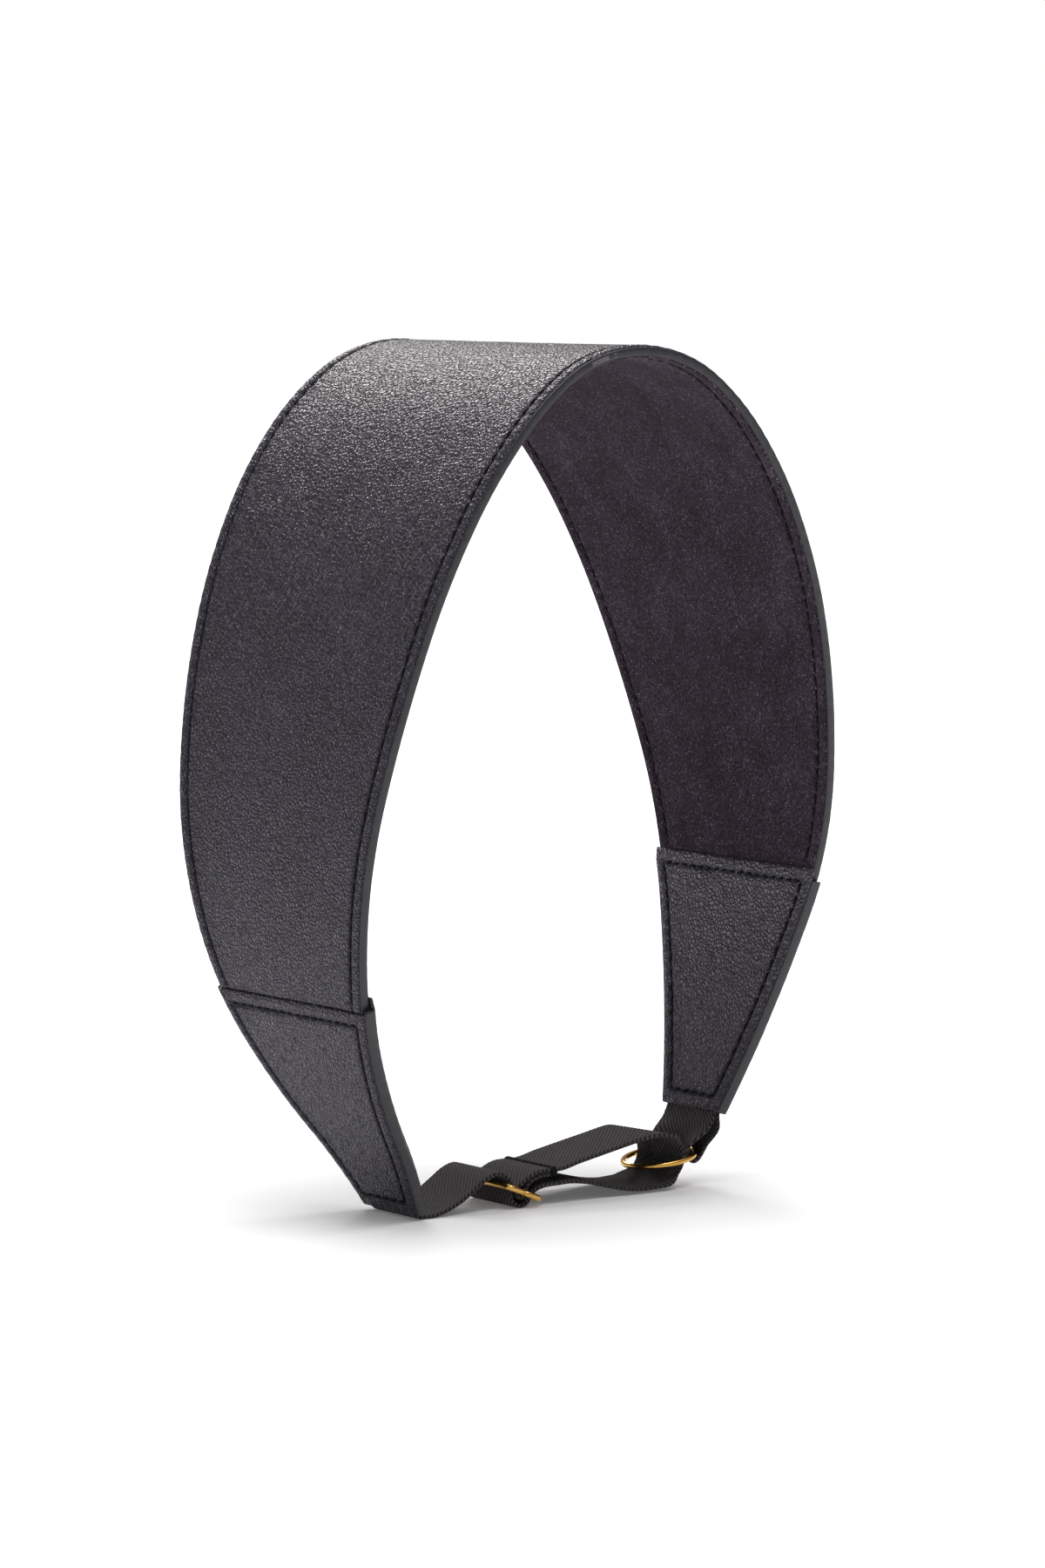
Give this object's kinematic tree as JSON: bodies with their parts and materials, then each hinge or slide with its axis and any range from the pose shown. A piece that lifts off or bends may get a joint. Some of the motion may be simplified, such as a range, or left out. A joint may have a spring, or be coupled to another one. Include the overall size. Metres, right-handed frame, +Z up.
{
  "type": "leather headband",
  "caption": "Wide arched leather headband with suede lining, stitched tapered tabs and an elastic strap with gold slider and ring.",
  "frame": {"origin": "centre of the bounding box's floor, where the strap rests", "axes": "+Z up to the crown, +X across the arch towards the ring, +Y along the axis of the head"},
  "size_m": [0.1412, 0.1046, 0.2092],
  "materials": {
    "outer_leather": "fine pebble grain, soft sheen",
    "tab_leather": "pebble grain, slightly glossier",
    "suede": "napped suede",
    "stiffener": "plain felted board",
    "edge_paint": "matte edge paint",
    "thread": "waxed thread",
    "elastic": "twill-woven elastic",
    "gold": "polished"
  },
  "bodies": {
    "band": {"outer_leather": "outer_leather", "stiffener_core": "stiffener", "suede_lining": "suede", "edge_paint_front": "edge_paint", "edge_paint_back": "edge_paint", "left_tab_outer": "outer_leather", "left_tab_inner": "tab_leather", "left_tab_core": "stiffener", "left_tab_edge": "edge_paint", "right_tab_outer": "outer_leather", "right_tab_inner": "tab_leather", "right_tab_core": "stiffener", "right_tab_edge": "edge_paint", "band_stitches_front": "thread", "band_stitches_back": "thread", "left_tab_stitches": "thread", "right_tab_stitches": "thread", "adjuster_strap": "elastic", "keeper_loop": "elastic"},
    "slider": {"slider": "gold", "strap_tack": "thread"},
    "ring": {"ring": "gold"}
  },
  "joints": [
    {"name": "slider_slide", "type": "slide", "parent": "band", "child": "slider", "axis": [1, 0, 0], "range_m": [-0.012, 0.012], "deforming": ["adjuster_strap"]},
    {"name": "ring_tilt", "type": "hinge", "parent": "band", "child": "ring", "pos_m": [0.05293, 0, 0.00835], "axis": [0, 1, 0], "range_deg": [-8, 18]}
  ]
}
